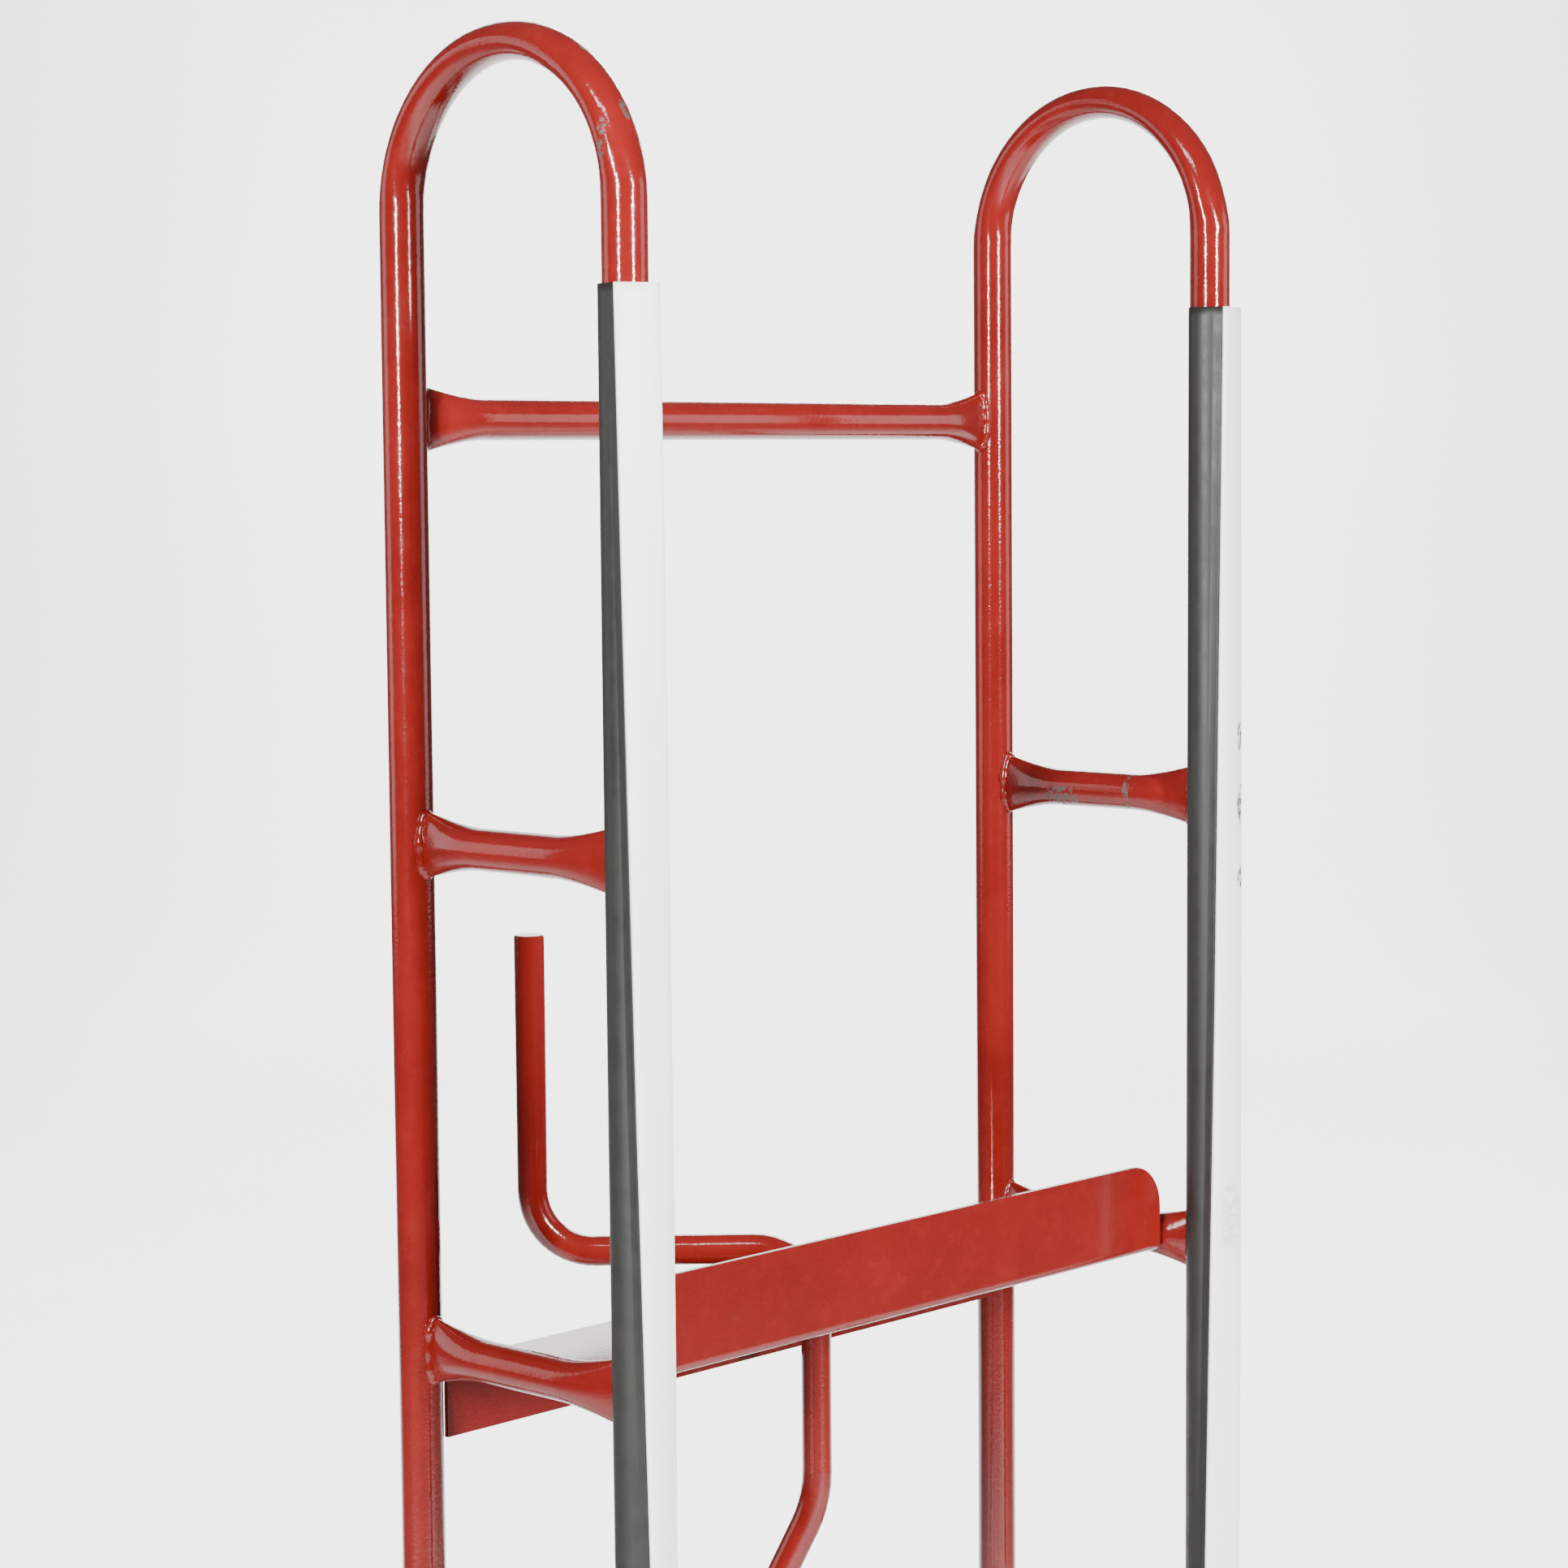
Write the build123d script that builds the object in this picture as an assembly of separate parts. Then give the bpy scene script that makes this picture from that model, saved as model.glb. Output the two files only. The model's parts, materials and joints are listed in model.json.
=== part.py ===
from build123d import *
import math
import os

# Tyre hand truck: two looped tubular side frames joined by a crossbar, a folded cross tray
# and a base crossbar, with a toe plate, two wheels and a swivelling brake rod.
# Millimetres. X = across the truck, -Y = load side, +Y = operator side, Z = up.
# The origin is on the floor, in the middle of the footprint.

# ---------------------------------------------------------------- driving dimensions
# side frames
FRAME_W = 547.0           # side frame to side frame, centre to centre
FRAME_D = 188.6           # front upright to rear upright, centre to centre
Y_FRONT = -50.0           # plane of the front uprights
Y_REAR = Y_FRONT + FRAME_D
PIPE_R = 13.335           # 3/4 in pipe, 26.67 mm outside
PIPE_WALL = 1.9
ARC_Z = 1418.0            # where the uprights turn into the top loop
BEND_SQUASH = 0.84        # a bent pipe is this much thinner in the plane of the bend
BEND_SPREAD = 1.09        # and this much wider across it
FRONT_FOOT_Z = 12.0
REAR_FOOT_Z = 79.0

# cross tubes with crimped ends
TUBE_R = 12.7
TUBE_WALL = 1.6
CRIMP_LEN = 48.0
CRIMP_TALL = 20.3         # half height of the crimped end
CRIMP_THIN = 5.0          # half thickness of the crimped end
CROSSBAR_Z = 1297.0
STRETCHER_Z = {"upper": 1042.5, "tray": 734.0, "lower": 430.0, "base": 127.0}
RIGHT_TRAY_RISE = 4.0     # the right tray stretcher is welded on a little higher
BASE_BAR_Y = 0.0

# cross tray, a Z-folded sheet
TRAY_T = 3.0
TRAY_LEN = 519.0
TRAY_Y0 = -19.2           # front face
TRAY_Y1 = 133.6           # rear face, between the rear uprights
SHELF_Z = 733.0           # top of the shelf at its front edge
SHELF_FALL = 8.4          # drop of the shelf from front edge to rear edge
UPSTAND_Z = 791.0
LIP_Z = 676.0
TRAY_BEND = 3.0           # inside bend radius
UPSTAND_CORNER = 30.0

# bumper strips on the front uprights
STRIP_Z0, STRIP_Z1 = 125.0, 1370.0
CHANNEL_R = 15.8
CHANNEL_GAP = 60.0       # opening at the back, degrees
LAND_HALF = 14.0
LAND_Y = 14.3             # where the dark channel meets the white cap
CAP_EDGE_Y = 16.4
CAP_CROWN_Y = 18.6

# brake rod
ROD_R = 9.75
ROD_Y = 62.6              # swivel axis, at X = 0
ROD_REST = 135.0          # direction of the rod's plane at rest, degrees from +X
ROD_ON = 138.85           # direction at which the shoe meets the tyre
GRIP_TOP_Z = 968.5
ARM_Z = 762.0
ARM_LEN = 182.5
SLANT_TOP_Z = 595.0
SLANT = 26.0              # degrees from vertical
FOOT_SLANT = 65.2
ROD_BENDS = (40.0, 40.0, 85.0, 50.0)
FOOT_PAST_SHOE = 20.0
BUSH_R, BUSH_Z0 = 14.5, 714.8
BUSH_CONE_Z, BUSH_MOUTH_Z = 721.5, 727.0
BUSH_MOUTH_R = 12.2
COLLAR_R, COLLAR_H = 14.0, 6.4
SET_SCREW_R = 1.8
FIT = 0.05                # radial running clearance

# wheels and axle
WHEEL_R = 127.0
WHEEL_X = 225.0
TYRE_W = 50.0
RIM_R = 74.0
AXLE_Y = Y_REAR + 35.0
AXLE_R = 10.0
AXLE_HALF = 290.0
HUB_HALF = 30.0
HUB_R = 26.0
BEARING_R, BEARING_W = 21.0, 12.0
BRACKET_T = 6.0
ARM_X = 180.0
SHOE_ANGLE = 35.0         # middle of the shoe, degrees behind the top of the tyre
SHOE_SPAN = 28.0
SHOE_W = 46.0
SHOE_GAP = 0.5
LINING_T, SHOE_T = 8.0, 4.0

# toe plate
TOE_T = 5.0
TOE_W = 574.0
TOE_Y0 = -(AXLE_Y + WHEEL_R)
TOE_FLANGE_Z = 112.0
TOE_BEND = 6.0
BOLT_Z = (42.0, 86.0)
BOLT_R = 5.0

half_w = FRAME_W / 2
loop_r = FRAME_D / 2
loop_y = (Y_FRONT + Y_REAR) / 2
SIDES = {"left": -1, "right": 1}

os.makedirs("parts", exist_ok=True)


def save(name, *solids):
    """Write one node; several solids stay separate bodies of the same node."""
    shape = solids[0] if len(solids) == 1 else Compound(list(solids))
    export_step(shape, f"parts/{name}.step")


def rod_between(start, end, radius):
    """Solid round bar from one point to another."""
    axis = Vector(*end) - Vector(*start)
    return extrude(Plane(origin=start, z_dir=axis) * Circle(radius), axis.length)


def ring(x0, x1, outer, inner, y=0.0, z=0.0):
    """Tube along X."""
    return rod_between((x0, y, z), (x1, y, z), outer) - rod_between((x0 - 1, y, z), (x1 + 1, y, z), inner)


def mirrored(solid):
    """The same piece on the other side of the truck."""
    return mirror(solid, about=Plane.YZ)


# ---------------------------------------------------------------- side frames
def loop_skin(x, shrink):
    """Upright, top bend and upright of one side frame, as a solid of the pipe's skin."""
    sections = []
    steps = 18
    for i in range(steps + 1):
        turn = math.pi * i / steps
        bent = min(1.0, 3.0 * math.sin(turn))
        in_plane = PIPE_R * (1 - (1 - BEND_SQUASH) * bent) - shrink
        across = PIPE_R * (1 + (BEND_SPREAD - 1) * bent) - shrink
        out = Vector(0, -math.cos(turn), math.sin(turn))
        centre = Vector(x, loop_y, ARC_Z) + out * loop_r
        plane = Plane(origin=centre, x_dir=(1, 0, 0), z_dir=Vector(0, math.sin(turn), math.cos(turn)))
        sections.append(plane * Ellipse(across, in_plane))
    bend = loft(sections)
    front = rod_between((x, Y_FRONT, FRONT_FOOT_Z), (x, Y_FRONT, ARC_Z), PIPE_R - shrink)
    rear = rod_between((x, Y_REAR, REAR_FOOT_Z), (x, Y_REAR, ARC_Z), PIPE_R - shrink)
    return front + bend + rear


def side_loop(x):
    pipe = loop_skin(x, 0) - loop_skin(x, PIPE_WALL)
    for z in BOLT_Z:
        pipe -= rod_between((x, Y_FRONT - 20, z), (x, Y_FRONT + 20, z), BOLT_R + 0.2)
    return pipe


def upright(x, y):
    """Outer skin of one upright, for coping what is welded to it."""
    return rod_between((x, y, 0), (x, y, ARC_Z), PIPE_R)


# ---------------------------------------------------------------- crimped cross tubes
def crimped_skin(length, buried, shrink):
    """Round bar along X whose ends are flattened to stand upright.

    Each end runs on by the buried length at its full flatness, inside what it is welded to."""
    half = length / 2
    inset = [CRIMP_LEN * k for k in (0.0, 0.1, 0.28, 0.5, 0.75, 1.0)]

    def section(x, depth):
        left = 1 - depth / CRIMP_LEN
        tall = TUBE_R + (CRIMP_TALL - TUBE_R) * left ** 1.6 - shrink
        thin = TUBE_R - (TUBE_R - CRIMP_THIN) * left ** 2 - shrink
        plane = Plane(origin=(x, 0, 0), x_dir=(0, 1, 0), z_dir=(1, 0, 0))
        return plane * Ellipse(thin, tall)

    start = half - buried
    near = loft([section(-start + d, d) for d in inset])
    far = loft([section(start - d, d) for d in reversed(inset)])
    middle = rod_between((-start + CRIMP_LEN, 0, 0), (start - CRIMP_LEN, 0, 0), TUBE_R - shrink)
    stub = extrude(section(-half, 0), buried, dir=(1, 0, 0))
    return near + middle + far + stub + mirror(stub, about=Plane.YZ)


def rear_crossbar():
    """Crimped tube across the truck between the rear uprights."""
    tube = crimped_skin(FRAME_W, PIPE_R, 0) - crimped_skin(FRAME_W, PIPE_R, TUBE_WALL)
    return Pos(0, Y_REAR, CROSSBAR_Z) * tube - upright(-half_w, Y_REAR) - upright(half_w, Y_REAR)


def stretcher_skin(x, z, shrink):
    """Skin of a crimped tube from a front upright to the rear upright behind it."""
    place = Pos(x, loop_y, z) * Rot(0, 0, 90)
    return place * crimped_skin(FRAME_D - PIPE_R, PIPE_R / 2, shrink)


def stretcher(x, z):
    tube = stretcher_skin(x, z, 0) - stretcher_skin(x, z, TUBE_WALL)
    return tube - upright(x, Y_FRONT) - upright(x, Y_REAR)


def base_crossbar_skin(shrink):
    """Skin of the crimped tube between the two base stretchers."""
    length = 2 * (half_w - TUBE_R + 2)
    return Pos(0, BASE_BAR_Y, STRETCHER_Z["base"]) * crimped_skin(length, 2, shrink)


# ---------------------------------------------------------------- folded sheets
def shelf_top(y):
    """Height of the shelf's upper face, which falls a little towards the back."""
    return SHELF_Z - SHELF_FALL * (y - TRAY_Y0) / (TRAY_Y1 - TRAY_Y0)


def across(outline, length):
    """Prism along X, centred, from an outline of (Y, Z) points."""
    side = Plane(origin=(-length / 2, 0, 0), x_dir=(0, 1, 0), z_dir=(1, 0, 0))
    return extrude(side * Polygon(*outline, align=None), length, dir=(1, 0, 0))


def cross_tray():
    """Upstand at the front, shelf, lip turned down between the rear uprights."""
    front_fold = (TRAY_Y0, shelf_top(TRAY_Y0) - TRAY_T)
    front_inside = (TRAY_Y0 + TRAY_T, shelf_top(TRAY_Y0 + TRAY_T))
    rear_fold = (TRAY_Y1, shelf_top(TRAY_Y1))
    rear_inside = (TRAY_Y1 - TRAY_T, shelf_top(TRAY_Y1 - TRAY_T) - TRAY_T)
    tray = across([(TRAY_Y0, UPSTAND_Z), (TRAY_Y0 + TRAY_T, UPSTAND_Z), front_inside, rear_fold,
                   (TRAY_Y1, LIP_Z), (TRAY_Y1 - TRAY_T, LIP_Z), rear_inside, front_fold], TRAY_LEN)
    folds = tray.edges().filter_by(Axis.X)
    tray = fillet([e for e in folds if on_line(e, *front_inside) or on_line(e, *rear_inside)], TRAY_BEND)
    folds = tray.edges().filter_by(Axis.X)
    tray = fillet([e for e in folds if on_line(e, *front_fold) or on_line(e, *rear_fold)], TRAY_BEND + TRAY_T)
    corners = tray.edges().filter_by(Axis.Y)
    tray = fillet([e for e in corners if abs(e.center().Z - UPSTAND_Z) < 0.1], UPSTAND_CORNER)
    return tray - rod_between((0, ROD_Y, SHELF_Z - 30), (0, ROD_Y, SHELF_Z + 5), BUSH_MOUTH_R + 0.3)


def on_line(edge, y, z):
    """True for an edge along X that lies at the given Y and Z."""
    middle = edge.center()
    return abs(middle.Y - y) < 0.01 and abs(middle.Z - z) < 0.01


def toe_plate():
    """Folded plate: toe on the floor and a flange bolted to the front uprights."""
    back = Y_FRONT - PIPE_R
    front = back - TOE_T
    profile = [(TOE_Y0, 0), (back, 0), (back, TOE_FLANGE_Z), (front, TOE_FLANGE_Z),
               (front, TOE_T), (TOE_Y0 + 9, TOE_T), (TOE_Y0, 2)]
    plate = across(profile, TOE_W)
    edges = plate.edges().filter_by(Axis.X)
    plate = fillet([e for e in edges if on_line(e, front, TOE_T)], TOE_BEND)
    edges = plate.edges().filter_by(Axis.X)
    plate = fillet([e for e in edges if on_line(e, back, 0)], TOE_BEND + TOE_T)
    rounded = Pos(0, TOE_Y0 + 200, 0) * RectangleRounded(TOE_W, 400, 30)
    plate &= extrude(rounded, TOE_FLANGE_Z)
    edges = plate.edges().filter_by(Axis.Y)
    plate = fillet([e for e in edges if abs(e.center().Z - TOE_FLANGE_Z) < 0.1], 14.0)
    for x in (-half_w, half_w):
        for z in BOLT_Z:
            plate -= rod_between((x, back - 20, z), (x, back + 5, z), BOLT_R + 0.2)
    return plate


# ---------------------------------------------------------------- bumper strips
def channel():
    """Rubber channel that clips round the upright, section about the upright's axis."""
    gap = math.radians(CHANNEL_GAP / 2)
    wedge = Polygon((0, 0), (-40 * math.sin(gap), 40 * math.cos(gap)), (0, 60),
                    (40 * math.sin(gap), 40 * math.cos(gap)), align=None)
    front = Polygon((-LAND_HALF, -LAND_Y), (LAND_HALF, -LAND_Y), (LAND_HALF, -LAND_Y + 1.6),
                    (9.5, -7), (-9.5, -7), (-LAND_HALF, -LAND_Y + 1.6), align=None)
    ahead = Pos(0, -LAND_Y - 5) * Rectangle(40, 10)
    section = Circle(CHANNEL_R) + front - Circle(PIPE_R + 0.05) - wedge - ahead
    return extrude(section, STRIP_Z1 - STRIP_Z0)


def cap():
    """Crowned hard cap on the front land of the channel."""
    top = Polyline((-LAND_HALF, -CAP_EDGE_Y), (-LAND_HALF, -LAND_Y), (LAND_HALF, -LAND_Y),
                   (LAND_HALF, -CAP_EDGE_Y))
    crown = ThreePointArc((LAND_HALF, -CAP_EDGE_Y), (0, -CAP_CROWN_Y), (-LAND_HALF, -CAP_EDGE_Y))
    return extrude(make_face(top + crown), STRIP_Z1 - STRIP_Z0)


# ---------------------------------------------------------------- brake rod
def in_rod_plane(reach, z):
    """Point of the rod's plane: distance from the swivel axis and height, at rest."""
    turn = math.radians(ROD_REST)
    return (reach * math.cos(turn), ROD_Y + reach * math.sin(turn), z)


def shoe_reach():
    """Distance from the swivel axis and height of the rod where it crosses the shoe."""
    turn = math.radians(SHOE_ANGLE)
    height = WHEEL_R + SHOE_GAP + LINING_T + SHOE_T + ROD_R
    y = AXLE_Y + height * math.sin(turn)
    return math.hypot(WHEEL_X, y - ROD_Y), WHEEL_R + height * math.cos(turn)


def rod_path():
    reach, z = shoe_reach()
    slope = math.tan(math.radians(SLANT))
    foot = 1 / math.tan(math.radians(FOOT_SLANT))
    knee = (SLANT_TOP_Z - z - reach * foot) * slope / (1 - foot * slope)
    knee_z = SLANT_TOP_Z - knee / slope
    past = FOOT_PAST_SHOE * math.sin(math.radians(FOOT_SLANT))
    points = [in_rod_plane(ARM_LEN, GRIP_TOP_Z), in_rod_plane(ARM_LEN, ARM_Z), in_rod_plane(0, ARM_Z),
              in_rod_plane(0, SLANT_TOP_Z), in_rod_plane(knee, knee_z),
              in_rod_plane(reach + past, z - past * foot)]
    return FilletPolyline(*points, radius=list(ROD_BENDS))


def brake_rod():
    path = rod_path()
    bar = sweep(Plane(origin=path @ 0, z_dir=path % 0) * Circle(ROD_R), path=path)
    return chamfer(bar.edges().filter_by(GeomType.CIRCLE).sort_by(Axis.Z)[-1], 0.8)


def shoe_sector(inner, outer):
    """Slice of a ring round the wheel axis, drawn with the brake on, then swung back to rest."""
    a0, a1 = (math.radians(SHOE_ANGLE + k * SHOE_SPAN / 2) for k in (-1, 1))

    def at(radius, angle):
        return (0, AXLE_Y + radius * math.sin(angle), WHEEL_R + radius * math.cos(angle))

    mid = (a0 + a1) / 2
    edge = (Line(at(inner, a0), at(outer, a0)) + ThreePointArc(at(outer, a0), at(outer, mid), at(outer, a1))
            + Line(at(outer, a1), at(inner, a1)) + ThreePointArc(at(inner, a1), at(inner, mid), at(inner, a0)))
    face = Pos(-WHEEL_X - SHOE_W / 2, 0, 0) * make_face(edge)
    return swung_back(extrude(face, SHOE_W, dir=(1, 0, 0)))


def swung_back(solid):
    """From the brake-on position to rest, about the swivel axis."""
    return Pos(0, ROD_Y, 0) * Rot(0, 0, ROD_REST - ROD_ON) * Pos(0, -ROD_Y, 0) * solid


def shoe_saddle(rod):
    """Block welded between the shoe and the rod, hollowed to the rod."""
    reach, z = shoe_reach()
    foot = math.radians(FOOT_SLANT)
    along = Vector(math.sin(foot) * math.cos(math.radians(ROD_REST)),
                   math.sin(foot) * math.sin(math.radians(ROD_REST)), -math.cos(foot))
    turn = math.radians(SHOE_ANGLE)
    normal = Vector(0, math.sin(turn), math.cos(turn)).rotate(Axis.Z, ROD_REST - ROD_ON)
    plane = Plane(origin=in_rod_plane(reach, z), x_dir=along, z_dir=normal)
    block = plane * (Pos(-1, 0, -ROD_R / 2 - 1) * Box(34, 27, ROD_R + 2))
    keep = shoe_sector(WHEEL_R + SHOE_GAP + LINING_T + SHOE_T, WHEEL_R + 60)
    return (block & keep) - rod


def rod_bush():
    """Bush welded under the shelf; its coned mouth clears the rod's bend."""
    body = rod_between((0, ROD_Y, BUSH_Z0), (0, ROD_Y, BUSH_MOUTH_Z), BUSH_R)
    bore = rod_between((0, ROD_Y, BUSH_Z0 - 1), (0, ROD_Y, BUSH_CONE_Z + 0.01), ROD_R + FIT)
    mouth_height = BUSH_MOUTH_Z - BUSH_CONE_Z
    mouth = Pos(0, ROD_Y, BUSH_CONE_Z + mouth_height / 2) * Cone(ROD_R + FIT, BUSH_MOUTH_R, mouth_height)
    under_shelf = across([(TRAY_Y0, 0), (TRAY_Y1, 0), (TRAY_Y1, shelf_top(TRAY_Y1) - TRAY_T),
                          (TRAY_Y0, shelf_top(TRAY_Y0) - TRAY_T)], 4 * BUSH_R)
    return (body - bore - mouth) & under_shelf


def rod_collar():
    top = BUSH_Z0 - 0.4
    body = rod_between((0, ROD_Y, top - COLLAR_H), (0, ROD_Y, top), COLLAR_R)
    body = chamfer(body.edges().filter_by(GeomType.CIRCLE), 0.8)
    body -= rod_between((0, ROD_Y, top - 20), (0, ROD_Y, top + 5), ROD_R)
    return body - collar_screw_bar()


def collar_screw_bar():
    """Radial bar that the collar's set screw fills, facing the operator."""
    z = BUSH_Z0 - 0.4 - COLLAR_H / 2
    return rod_between((0, ROD_Y + ROD_R, z), (0, ROD_Y + COLLAR_R + 2, z), SET_SCREW_R)


def collar_screw():
    end = Plane(origin=(0, ROD_Y + COLLAR_R + 2, BUSH_Z0 - 0.4 - COLLAR_H / 2), z_dir=(0, -1, 0))
    return collar_screw_bar() - extrude(end * RegularPolygon(1.0, 6), 2.0)


# ---------------------------------------------------------------- wheels and axle
def revolved(points):
    """Ring from an outline of (X, radius) points, about the axle."""
    outline = [Vector(x, AXLE_Y + radius, WHEEL_R) for x, radius in points]
    face = make_face(Polyline(*outline, close=True))
    return revolve(face, axis=Axis((0, AXLE_Y, WHEEL_R), (1, 0, 0)))


def tyre(x):
    """Solid rubber tyre with three tread grooves and rounded shoulders."""
    half = TYRE_W / 2
    body = ring(x - half, x + half, WHEEL_R, RIM_R, AXLE_Y, WHEEL_R)
    shoulders = [e for e in body.edges().filter_by(GeomType.CIRCLE) if e.radius > WHEEL_R - 1]
    body = fillet(shoulders, 9.0)
    for edge in (x - half - 1, x + half - 5):
        body -= ring(edge, edge + 6, RIM_R + 4.2, RIM_R - 1, AXLE_Y, WHEEL_R)
    for offset in (-11.0, 0.0, 11.0):
        body -= ring(x + offset - 1.6, x + offset + 1.6, WHEEL_R + 1, WHEEL_R - 3.5, AXLE_Y, WHEEL_R)
    return body


def rim(x):
    """Pressed rim: bead seat with flanges, dished web with round holes, hub with bearing seats."""
    seat = RIM_R - 0.05
    profile = [(-22, seat + 4), (-20, seat + 4), (-20, seat), (20, seat), (20, seat + 4), (22, seat + 4),
               (22, seat - 3), (3, seat - 3), (3, seat - 9), (7, 40), (7, HUB_R), (HUB_HALF, HUB_R),
               (HUB_HALF, BEARING_R + 0.02), (HUB_HALF - BEARING_W, BEARING_R + 0.02),
               (HUB_HALF - BEARING_W, 15), (-HUB_HALF + BEARING_W, 15),
               (-HUB_HALF + BEARING_W, BEARING_R + 0.02), (-HUB_HALF, BEARING_R + 0.02),
               (-HUB_HALF, HUB_R), (3, HUB_R), (3, 40), (-1, seat - 9), (-1, seat - 3), (-22, seat - 3)]
    body = revolved([(x + dx, radius) for dx, radius in profile])
    for i in range(6):
        turn = math.radians(60 * i)
        y, z = AXLE_Y + 49 * math.cos(turn), WHEEL_R + 49 * math.sin(turn)
        body -= rod_between((x - 15, y, z), (x + 15, y, z), 7.5)
    return body


def bearings(x):
    """The two sealed bearings of one wheel."""
    pair = []
    for side in (-1, 1):
        outer_face = x + side * HUB_HALF
        inner_face = outer_face - side * BEARING_W
        x0, x1 = sorted((outer_face, inner_face))
        race = ring(x0, x1, BEARING_R, AXLE_R + FIT, AXLE_Y, WHEEL_R)
        mouth = outer_face - side * 0.4
        x0, x1 = sorted((mouth, outer_face + side * 0.5))
        pair.append(race - ring(x0, x1, 17.6, 13.4, AXLE_Y, WHEEL_R))
    return pair


def axle():
    bar = rod_between((-AXLE_HALF, AXLE_Y, WHEEL_R), (AXLE_HALF, AXLE_Y, WHEEL_R), AXLE_R)
    bar = chamfer(bar.edges().filter_by(GeomType.CIRCLE), 1.2)
    for x in (-PIN_X, PIN_X):
        bar -= rod_between((x, AXLE_Y, WHEEL_R - 15), (x, AXLE_Y, WHEEL_R + 15), 2.1)
    return bar


PIN_X = AXLE_HALF - 6.0
BRACKET_OUT = half_w + BRACKET_T / 2


def split_pin(x):
    """Split pin dropped through the axle, eye on top."""
    shank = rod_between((x, AXLE_Y, WHEEL_R - 15), (x, AXLE_Y, WHEEL_R + 14), 2.0)
    eye = Pos(x, AXLE_Y, WHEEL_R + 17.5) * Rot(0, 90, 0) * Torus(4.2, 1.5)
    return shank + eye


def axle_bracket(x):
    """Plate welded to the back of a rear upright, carrying the end of the axle."""
    cheek = Pos(x, AXLE_Y - 14, WHEEL_R) * Box(BRACKET_T, 40, 72)
    cheek = fillet(cheek.edges().filter_by(Axis.X).sort_by(Axis.Y)[-2:], 10.0)
    nose = ring(x - BRACKET_T / 2, x + BRACKET_T / 2, 25, AXLE_R, AXLE_Y, WHEEL_R)
    hole = rod_between((x - 20, AXLE_Y, WHEEL_R), (x + 20, AXLE_Y, WHEEL_R), AXLE_R + 0.1)
    return cheek + nose - hole - upright(x, Y_REAR)


def axle_arm(x, bar_skin):
    """Flat bar from the base crossbar back to the axle, beside the wheel."""
    strap = Pos(x, (BASE_BAR_Y + AXLE_Y) / 2, WHEEL_R) * Box(BRACKET_T, AXLE_Y - BASE_BAR_Y, 34)
    nose = ring(x - BRACKET_T / 2, x + BRACKET_T / 2, 20, AXLE_R, AXLE_Y, WHEEL_R)
    hole = rod_between((x - 20, AXLE_Y, WHEEL_R), (x + 20, AXLE_Y, WHEEL_R), AXLE_R + 0.1)
    behind = Pos(x, BASE_BAR_Y - 50, WHEEL_R) * Box(60, 100, 60)
    return strap + nose - hole - bar_skin - behind


# ---------------------------------------------------------------- fasteners and plugs
def toe_bolt(x, z):
    """Round-head bolt through the toe plate's flange and the upright."""
    face = Y_FRONT - PIPE_R - TOE_T
    shank = rod_between((x, face, z), (x, Y_FRONT + PIPE_R + 13, z), BOLT_R)
    dome = Pos(x, face + 8.1, z) * Sphere(13.4)
    head = dome & rod_between((x, face - 10, z), (x, face, z), 11)
    return shank + head


def toe_washer(x, z):
    y = Y_FRONT + PIPE_R
    return rod_between((x, y, z), (x, y + 2, z), 10) - rod_between((x, y - 1, z), (x, y + 3, z), BOLT_R + 0.3)


def toe_nut(x, z):
    y = Y_FRONT + PIPE_R + 2
    face = Plane(origin=(x, y, z), x_dir=(1, 0, 0), z_dir=(0, 1, 0))
    nut = extrude(face * RegularPolygon(8.5, 6, major_radius=False), 8)
    return nut - rod_between((x, y - 1, z), (x, y + 10, z), BOLT_R)


def foot_plug(x, y, z):
    """Plastic plug closing the foot of an upright."""
    disc = rod_between((x, y, z - 4), (x, y, z), PIPE_R)
    disc = chamfer(disc.edges().filter_by(GeomType.CIRCLE).sort_by(Axis.Z)[0], 1.5)
    return disc + rod_between((x, y, z), (x, y, z + 14), PIPE_R - PIPE_WALL - 0.05)


# ---------------------------------------------------------------- build and write every node
for side, sign in SIDES.items():
    x = sign * half_w
    save(f"side_loop_{side}", side_loop(x))
    for level, z in STRETCHER_Z.items():
        rise = RIGHT_TRAY_RISE if (side, level) == ("right", "tray") else 0
        save(f"{level}_stretcher_{side}", stretcher(x, z + rise))
    save(f"bumper_channel_{side}", Pos(x, Y_FRONT, STRIP_Z0) * channel())
    save(f"bumper_cap_{side}", Pos(x, Y_FRONT, STRIP_Z0) * cap())
    save(f"axle_bracket_{side}", axle_bracket(x))

save("rear_crossbar", rear_crossbar())
bar_skin = base_crossbar_skin(0)
between = stretcher_skin(half_w, STRETCHER_Z["base"], 0)
save("base_crossbar", bar_skin - base_crossbar_skin(TUBE_WALL) - between - mirrored(between))

save("cross_tray", cross_tray())
save("toe_plate", toe_plate())

bolt_places = [(sign * half_w, z) for sign in SIDES.values() for z in BOLT_Z]
save("toe_bolts", *[toe_bolt(x, z) for x, z in bolt_places])
save("toe_washers", *[toe_washer(x, z) for x, z in bolt_places])
save("toe_nuts", *[toe_nut(x, z) for x, z in bolt_places])
feet = [(sign * half_w, y, z) for sign in SIDES.values()
        for y, z in ((Y_FRONT, FRONT_FOOT_Z), (Y_REAR, REAR_FOOT_Z))]
save("foot_plugs", *[foot_plug(*foot) for foot in feet])

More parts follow.
